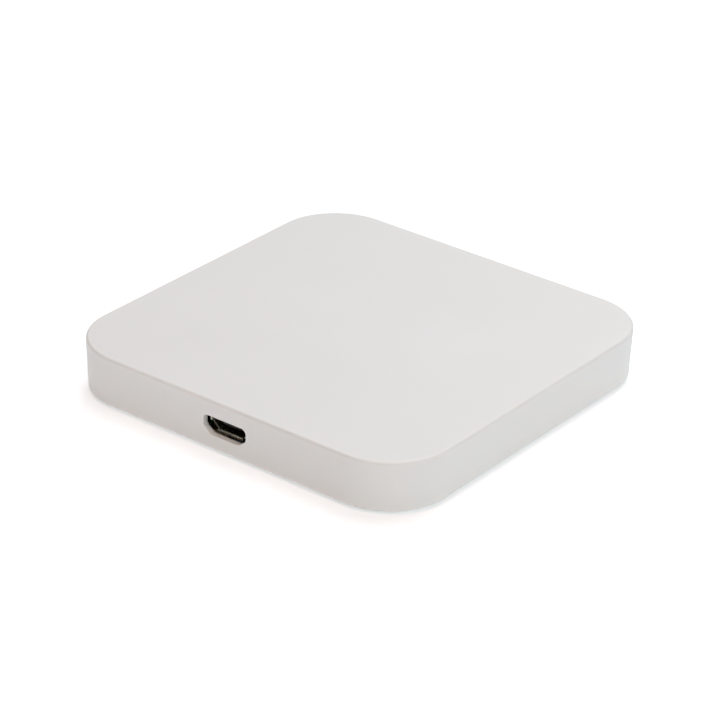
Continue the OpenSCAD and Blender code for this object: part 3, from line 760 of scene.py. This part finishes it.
def between(tree, place, axis, middle, reach):
    """1 where the coordinate along an axis is within reach of a middle, or of its mirror image."""
    along = node(tree, "ShaderNodeSeparateXYZ", {"Vector": place}, out=axis)
    side = node(tree, "ShaderNodeMath", {0: along}, operation="ABSOLUTE")
    return node(tree, "ShaderNodeMath", {0: side, 1: abs(middle), 2: reach}, operation="COMPARE")


def moulded_abs():
    """White ABS from a spark-eroded tool: a fine satin grain breaks the highlights up, the colour
    drifts very slightly, and light that enters thin walls and edges softens them."""
    material, tree, place = start(
        "white ABS, satin moulded", 0.42,
        {
            "Subsurface Weight": 0.5, "Subsurface Scale": 1.0 * MM,
            "Subsurface Radius": (1.0, 0.9, 0.8), "IOR": 1.53,
        },
    )
    feed(tree, Base_Color=tones(tree, grain(tree, place, 24), ABS_PALE, ABS_WARM))
    polish(tree, grain(tree, place, 0.16, 3), 0.36, 0.5, 0.006)
    return material


def moulded_rubber():
    """Compression-moulded rubber: matt, with fine pores and a pale bloom in patches."""
    material, tree, place = start("dark silicone rubber, matt moulded", 0.75, {"IOR": 1.42})
    bloom = grain(tree, place, 2.2, 4)
    feed(tree, Base_Color=tones(tree, bloom, "#37383b", "#4c4d50", (0.45, 0.8)))
    polish(tree, bloom, 0.68, 0.85, 0.015, grain(tree, place, 0.12))
    return material


def zinc_plate():
    """Barrel-plated zinc on steel screws: bright, faintly blue and straw in patches, with fine dings."""
    material, tree, place = start("zinc-plated steel, barrel plated", 0.32, {"Metallic": 1.0})
    feed(tree, Base_Color=tones(tree, grain(tree, place, 1.1, 3), "#b4b8bf", "#c6c0a8"))
    polish(tree, grain(tree, place, 0.18, 3), 0.24, 0.44, 0.008)
    return material


def printed_film():
    """Matt polyester label film: an even silver-grey print with a fine fibrous tooth and a darker
    printed border, left blank inside."""
    material, tree, place = start("polyester label film, matt printed", 0.6, {"IOR": 1.5})
    tooth = grain(tree, place, 0.09, 3, (1, 0.35, 1))
    border = 0.0
    for inset, sign in ((BORDER_OUTER, 1), (BORDER_INNER, -1)):
        across = between(tree, place, 0, 0, label_high.x - inset)
        along = between(tree, place, 1, 0, label_high.y - inset)
        area = node(tree, "ShaderNodeMath", {0: across, 1: along}, operation="MULTIPLY")
        border = node(tree, "ShaderNodeMath", {0: area, 1: sign, 2: border}, operation="MULTIPLY_ADD")
    film = tones(tree, tooth, "#cdcdca", "#dbdbd8")
    feed(tree, Base_Color=node(tree, "ShaderNodeMix", {0: border, 6: film, 7: "#8d8e90"}, **COLOUR))
    polish(tree, tooth, 0.5, 0.66, 0.004)
    return material


def plated_steel(name, pale, dark, rough, size, stretch, depth):
    """Plated sheet steel: streaks along the way it was rolled, with a fine matt tooth."""
    material, tree, place = start(name, rough, {"Metallic": 1.0})
    streaks = grain(tree, place, size, 4, stretch)
    tone = tones(tree, streaks, dark, pale)
    feed(tree, Base_Color=tones(tree, grain(tree, place, 3.5), tone, dark, share=(0, 0.5)))
    polish(tree, streaks, rough - 0.08, rough + 0.1, depth)
    return material


def gold_plate():
    """Immersion gold on nickel: warm and semi-bright, with a cloudy film and a fine grain."""
    material, tree, place = start("gold plate on nickel, semi-bright", 0.3, {"Metallic": 1.0})
    feed(tree, Base_Color=tones(tree, grain(tree, place, 0.8, 3), "#cda257", "#e6c681"))
    polish(tree, grain(tree, place, 0.06), 0.22, 0.38, 0.002)
    return material


def solder_mask(name, mask, over_copper, board):
    """Glossy solder mask: it looks lighter over copper, with dark gaps beside runs of parallel
    traces, and tinned vias. The board's cut edges are painted near black as painted shade, darker than a
    glass-fibre core."""
    material, tree, place = start(name, 0.3, {"Coat Weight": 0.35, "Coat Roughness": 0.2})
    links = {0: place, 1: (TRACE_BLOCK, TRACE_BLOCK, 1)}
    block = node(tree, "ShaderNodeVectorMath", links, operation="SNAP")
    pick = node(tree, "ShaderNodeTexWhiteNoise", {"Vector": block})
    gaps = 0.0
    for axis in (0, 1):
        chosen = node(tree, "ShaderNodeMath", {0: pick, 1: axis, 2: TRACE_SHARE}, operation="COMPARE")
        across = node(tree, "ShaderNodeSeparateXYZ", {"Vector": place}, out=axis)
        off_line = node(tree, "ShaderNodeMath", {0: across, 1: TRACE_PITCH / 2}, operation="PINGPONG")
        links = {0: off_line, 1: (TRACE_W + TRACE_GAP) / 2, 2: TRACE_GAP / 2}
        gap = node(tree, "ShaderNodeMath", links, operation="COMPARE")
        gaps = node(tree, "ShaderNodeMath", {0: chosen, 1: gap, 2: gaps}, operation="MULTIPLY_ADD")
    copper = node(tree, "ShaderNodeMath", {0: 1.0, 1: gaps}, operation="SUBTRACT")
    tone = node(tree, "ShaderNodeMix", {0: copper, 6: mask, 7: over_copper}, **COLOUR)
    vias = node(tree, "ShaderNodeTexVoronoi", {"Vector": place, "Scale": 1 / VIA_PITCH})
    tone = tones(tree, vias, tone, "#c9c6bd", (0.075, 0.095), (1, 0))
    low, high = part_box(board)
    # Painted shade: the cut edges get a near-black tone, darker than the glass-fibre core, to stand for the
    # shade they lie in inside the casing.
    cut = between(tree, place, 2, (low.z + high.z) / 2, (high.z - low.z) / 2 - MASK_T)
    core = tones(tree, grain(tree, place, 0.12, 2, (1, 1, 4)), "#17130c", "#221d12")
    feed(tree, Base_Color=node(tree, "ShaderNodeMix", {0: cut, 6: tone, 7: core}, **COLOUR))
    polish(tree, grain(tree, place, 1.4), 0.24, 0.4, 0.02, copper)
    return material


def mould_compound(name, dark, pale, body=None):
    """Filled epoxy or nylon: near-black and matt, with fine pale filler specks. Where a body is
    given, what lies outside it is the tinned lead frame."""
    material, tree, place = start(name, 0.6, {"IOR": 1.55})
    specks = grain(tree, place, 0.05, 3)
    tone = tones(tree, specks, dark, pale, (0.5, 0.8))
    feed(tree, Base_Color=tone)
    rough = polish(tree, specks, 0.52, 0.7, 0.006)
    if body:
        lead_frame(tree, place, tone, rough, body)
    return material


def lead_frame(tree, place, tone, rough, body):
    """Turns what lies outside a body's span along one axis into matt tin."""
    inside = between(tree, place, *body)
    outside = node(tree, "ShaderNodeMath", {0: 1.0, 1: inside}, operation="SUBTRACT")
    cloud = grain(tree, place, 0.1)
    tin = node(tree, "ShaderNodeMix", {0: cloud, 6: "#a9a9a6", 7: "#c9c8c3"}, **COLOUR)
    tin_rough = node(tree, "ShaderNodeMapRange", {0: cloud, 1: 0.3, 2: 0.7, 3: 0.32, 4: 0.48})
    feed(
        tree,
        Base_Color=node(tree, "ShaderNodeMix", {0: inside, 6: tin, 7: tone}, **COLOUR),
        Roughness=node(tree, "ShaderNodeMix", {0: inside, 2: tin_rough, 3: rough}),
        Metallic=outside,
    )


def coated_body(name, low, high, rough, size, body, band=None):
    """A small moulded or fired body with tinned ends, and a printed band where one is given."""
    material, tree, place = start(name, rough, {"IOR": 1.55})
    mottle = grain(tree, place, size, 3)
    tone = tones(tree, mottle, low, high)
    if band:
        axis, middle, reach, colour = band
        along = node(tree, "ShaderNodeSeparateXYZ", {"Vector": place}, out=axis)
        mark = node(tree, "ShaderNodeMath", {0: along, 1: middle, 2: reach}, operation="COMPARE")
        tone = node(tree, "ShaderNodeMix", {0: mark, 6: tone, 7: colour}, **COLOUR)
    lead_frame(tree, place, tone, polish(tree, mottle, rough - 0.08, rough + 0.08, 0.01), body)
    return material


def chip_row(name, low, high, rough, half_body):
    """Rows of small ceramic chips: a fired body between two tinned ends, repeated at the row's pitch."""
    material, tree, place = start(name, rough, {"IOR": 1.6})
    along = node(tree, "ShaderNodeSeparateXYZ", {"Vector": place}, out="X")
    side = node(tree, "ShaderNodeMath", {0: along}, operation="ABSOLUTE")
    first = ROW_X - ROW_PITCH / 2
    shift = node(tree, "ShaderNodeMath", {0: side, 1: first}, operation="SUBTRACT")
    step = node(tree, "ShaderNodeMath", {0: shift, 1: ROW_PITCH}, operation="MODULO")
    inside = node(tree, "ShaderNodeMath", {0: step, 1: ROW_PITCH / 2, 2: half_body}, operation="COMPARE")
    fired = grain(tree, place, 0.08, 3)
    tin = node(tree, "ShaderNodeMix", {0: fired, 6: "#a9a9a6", 7: "#cfcdc7"}, **COLOUR)
    links = {0: inside, 6: tin, 7: tones(tree, fired, low, high)}
    feed(
        tree,
        Base_Color=node(tree, "ShaderNodeMix", links, **COLOUR),
        Metallic=node(tree, "ShaderNodeMath", {0: 1.0, 1: inside}, operation="SUBTRACT"),
    )
    polish(tree, fired, rough - 0.08, rough + 0.1, 0.006)
    return material


def sintered_ferrite():
    """Pressed and sintered ferrite: dark grey, dry and grainy, with open pores that catch light."""
    material, tree, place = start("ferrite, pressed and sintered", 0.65, {"IOR": 1.9})
    pores = grain(tree, place, 0.12, 4)
    feed(tree, Base_Color=tones(tree, pores, "#2d2e31", "#4a4b4e"))
    polish(tree, pores, 0.55, 0.75, 0.025)
    return material


def phosphor_resin():
    """LED package: yellow phosphor resin in a white reflector body, slightly translucent."""
    material, tree, place = start(
        "phosphor resin in a white LED body", 0.3,
        {
            "Subsurface Weight": 0.5, "Subsurface Scale": 0.4 * MM,
            "Subsurface Radius": (1.0, 0.8, 0.5),
        },
    )
    specks = grain(tree, place, 0.05)
    window = between(tree, place, 0, LIGHT_X, LED_WINDOW)
    links = {0: window, 6: "#eeece4", 7: tones(tree, specks, "#dccb7a", "#ecdf9c")}
    feed(tree, Base_Color=node(tree, "ShaderNodeMix", links, **COLOUR))
    polish(tree, specks, 0.24, 0.4, 0.003)
    return material


def frosted_clear():
    """Frosted polycarbonate rod: milky, with light from behind spread by a fine surface frost."""
    material, tree, place = start(
        "clear polycarbonate, frosted face", 0.4,
        {
            "Transmission Weight": 0.3, "IOR": 1.58, "Subsurface Weight": 0.7,
            "Subsurface Scale": 1.5 * MM, "Subsurface Radius": (1.0, 1.0, 1.0),
        },
    )
    frost = grain(tree, place, 0.08, 3)
    feed(tree, Base_Color=tones(tree, frost, "#dfe4e3", "#f2f5f4"))
    polish(tree, frost, 0.32, 0.5, 0.006)
    return material


def moulded_acetal():
    """Grey acetal plunger: waxy, slightly glossy, with faint flow lines along its travel."""
    material, tree, place = start(
        "grey acetal, satin moulded", 0.38,
        {
            "Subsurface Weight": 0.15, "Subsurface Scale": 0.4 * MM,
            "Subsurface Radius": (1.0, 1.0, 1.0), "IOR": 1.48,
        },
    )
    flow = grain(tree, place, 0.3, 3, (1, 0.3, 1))
    feed(tree, Base_Color=tones(tree, flow, "#84868a", "#93959a"))
    polish(tree, flow, 0.32, 0.46, 0.004)
    return material


def finish_node(name, material):
    """Gives a CAD node its finished material."""
    mesh = bpy.data.objects[name].data
    mesh.materials.clear()
    mesh.materials.append(material)


def span(name, axis, share):
    """The middle and the body's half length along an axis, as a share of a CAD node's length."""
    low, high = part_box(name)
    return axis, (low[axis] + high[axis]) / 2, (high[axis] - low[axis]) / 2 * share


def package(name, axis, share, title):
    """Epoxy chip body between its leads."""
    finish_node(name, mould_compound(title, EPOXY_DARK, EPOXY_PALE, span(name, axis, share)))


# ---------------------------------------------------------------- scene
def make_camera():
    camera = bpy.data.cameras.new("camera")
    camera.lens = 154.3
    camera.sensor_width = 36
    obj = bpy.data.objects.new("camera", camera)
    bpy.context.scene.collection.objects.link(obj)
    turn = Matrix.Rotation(math.radians(37.16), 4, "Z") @ Matrix.Rotation(math.radians(90 - 27.56), 4, "X")
    turn = turn @ Matrix.Rotation(math.radians(1.675), 4, "Z")
    right, up, back = (turn.col[i].xyz for i in range(3))
    aim = Vector((0, 0, RIM_Z)) + up * 2.55 * MM - right * 0.11 * MM
    obj.matrix_world = Matrix.Translation(aim + back * 0.5062) @ turn
    bpy.context.scene.camera = obj


def make_floor():
    bm = bmesh.new()
    bmesh.ops.create_grid(bm, x_segments=1, y_segments=1, size=2)
    mesh = bpy.data.meshes.new("floor")
    bm.to_mesh(mesh)
    bm.free()
    floor = bpy.data.objects.new("floor", mesh)
    bpy.context.scene.collection.objects.link(floor)
    m = bpy.data.materials.new("white sweep")
    m.use_nodes = True
    shader = m.node_tree.nodes["Principled BSDF"]
    shader.inputs["Base Color"].default_value = linear("#fafafa")
    shader.inputs["Roughness"].default_value = 0.9
    shader.inputs["Emission Color"].default_value = linear("#f6fcff")
    shader.inputs["Emission Strength"].default_value = 0.3
    mesh.materials.append(m)


def area_light(name, place, aim, size, power, colour="#ffffff"):
    light = bpy.data.lights.new(name, "AREA")
    light.shape = "DISK"
    light.size = size
    light.energy = power
    light.color = linear(colour)[:3]
    obj = bpy.data.objects.new(name, light)
    bpy.context.scene.collection.objects.link(obj)
    direction = Vector(aim) - Vector(place)
    obj.matrix_world = Matrix.Translation(place) @ direction.to_track_quat("-Z", "Y").to_matrix().to_4x4()


def make_light():
    world = bpy.data.worlds.new("studio")
    bpy.context.scene.world = world
    world.use_nodes = True
    world.node_tree.nodes["Background"].inputs["Color"].default_value = (1, 1, 1, 1)
    world.node_tree.nodes["Background"].inputs["Strength"].default_value = 0.02
    area_light("overhead softbox", (-0.15, 0.5, 1.5), (0, 0, 0), 1.3, 14.4, "#f3f9ff")
    area_light("front softbox", (0.2, -0.62, 1.4), (0, 0, 0), 0.9, 8.5, "#ffe6da")
    area_light("right softbox", (1.45, -0.35, 0.8), (0, 0, 0), 0.9, 6.2, "#effaff")
    area_light("rear softbox", (-0.6, 1.3, 1.0), (0, 0, 0), 0.9, 5.5, "#eefaff")
    bpy.context.scene.view_settings.view_transform = "Standard"


make_camera()
make_floor()
make_light()
abs_white = moulded_abs()
black_nylon = mould_compound("black nylon, glass filled", "#111112", "#2c2c2d")
socket_steel = plated_steel(
    "nickel-plated steel, stamped", "#d8d6c6", "#b4b2a3", 0.3, 0.25, (1, 0.2, 1), 0.004
)
tinned_steel = plated_steel(
    "tin-plated steel, rolled", "#c6c6c2", "#a3a39f", 0.4, 0.5, (0.15, 1, 1), 0.005
)
spring_steel = plated_steel(
    "stainless spring steel, polished", "#c9c8c5", "#b3b2af", 0.2, 0.3, (1, 1, 0.3), 0.002
)
zinc = zinc_plate()
gold = gold_plate()
clear = frosted_clear()
phosphor = phosphor_resin()
green_board = solder_mask("green solder mask on FR4", "#052015", "#0b4029", "main_board")
blue_board = solder_mask("blue solder mask on FR4", "#0a1a33", "#12305c", "wifi_board")

make_casing(abs_white)
make_base(abs_white)
make_feet(moulded_rubber())
make_screws(
    "casing_screws", "case_screws", CASE_SCREWS, CASE_SEAT_Z,
    CASE_HEAD_R, 1.0 * MM, CASE_SHANK_R, 5 * MM, zinc,
)
make_screws(
    "circuit_screws", "board_screws", BOARD_SCREWS, board_low.z,
    BOARD_HEAD_R, 0.6 * MM, BOARD_SHANK_R, 4 * MM, zinc,
)
make_label(printed_film())
make_socket_shell(socket_steel)
make_tongue(black_nylon)
make_contacts(gold)
make_button(abs_white)
make_light_pipes(clear)
make_snap_dome(spring_steel)

finish_node("main_board", green_board)
for side in ("wifi", "mesh"):
    finish_node(side + "_board", blue_board)
    finish_node(side + "_shield", tinned_steel)
    finish_node(side + "_crystal", tinned_steel)
    finish_node(side + "_antenna", gold)
    title = "epoxy mould compound, " + side + " chip"
    finish_node(side + "_chip", mould_compound(title, EPOXY_DARK, EPOXY_PALE))
package("flash_chip", 1, 0.66, "epoxy mould compound, memory chip")
package("buck_converter", 1, 0.6, "epoxy mould compound, converter")
package("surge_clamp", 0, 0.9, "epoxy mould compound, surge clamp")
low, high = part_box("signal_transistors")
transistor_y = (low.y + high.y) / 2
finish_node(
    "signal_transistors",
    mould_compound(
        "epoxy mould compound, transistors", EPOXY_DARK, EPOXY_PALE, (1, transistor_y, 0.66 * MM)
    ),
)
finish_node(
    "input_fuse",
    coated_body(
        "green polymer fuse, dip coated", "#17553a", "#23734d", 0.4, 0.3, span("input_fuse", 1, 0.7)
    ),
)
for name in ("input_capacitor", "output_capacitor"):
    low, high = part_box(name)
    stripe = (0, low.x + 0.75 * MM, 0.25 * MM, "#5a3d12")
    finish_node(
        name,
        coated_body(
            "ochre tantalum body, moulded", "#b98a2e", "#cc9d3f", 0.45, 0.2, span(name, 0, 0.93), stripe
        ),
    )
finish_node("power_inductor", sintered_ferrite())
finish_node(
    "chip_resistors", chip_row("glazed film resistors", "#1c1d20", "#2c2d31", 0.35, 0.5 * MM)
)
finish_node(
    "chip_capacitors", chip_row("fired ceramic capacitors", "#9a7f5d", "#b3987a", 0.5, 0.5 * MM)
)
for name in ("power_led", "network_led"):
    finish_node(name, phosphor)
finish_node("switch_base", black_nylon)
finish_node("switch_frame", tinned_steel)
finish_node("switch_plunger", moulded_acetal())
